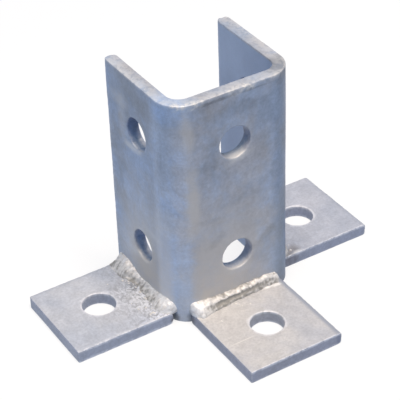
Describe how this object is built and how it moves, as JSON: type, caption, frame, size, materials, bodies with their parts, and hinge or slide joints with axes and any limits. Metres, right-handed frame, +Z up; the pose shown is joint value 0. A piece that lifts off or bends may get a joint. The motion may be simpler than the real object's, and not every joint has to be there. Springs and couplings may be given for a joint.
{
  "type": "three-way angle connector",
  "caption": "Upright steel channel for a square strut, with a drilled base plate welded to each of its outer faces at the foot.",
  "frame": {"origin": "on the floor plane, midway between the flanges, below the bolts that cross the channel (the strut's line)", "axes": "+X across the web towards the right base plate, +Y from the web towards the open back, +Z up along the channel"},
  "size_m": [0.1344, 0.0895, 0.096],
  "materials": {
    "galvanised_steel": "hot-dip galvanised, satin, faintly mottled blue-grey",
    "zinc_coated_weld": "rough weld bead under bright zinc"
  },
  "bodies": {
    "root": {"channel": "galvanised_steel", "left_base_plate": "galvanised_steel", "front_base_plate": "galvanised_steel", "right_base_plate": "galvanised_steel", "left_weld": "zinc_coated_weld", "front_weld": "zinc_coated_weld", "right_weld": "zinc_coated_weld"}
  },
  "joints": []
}
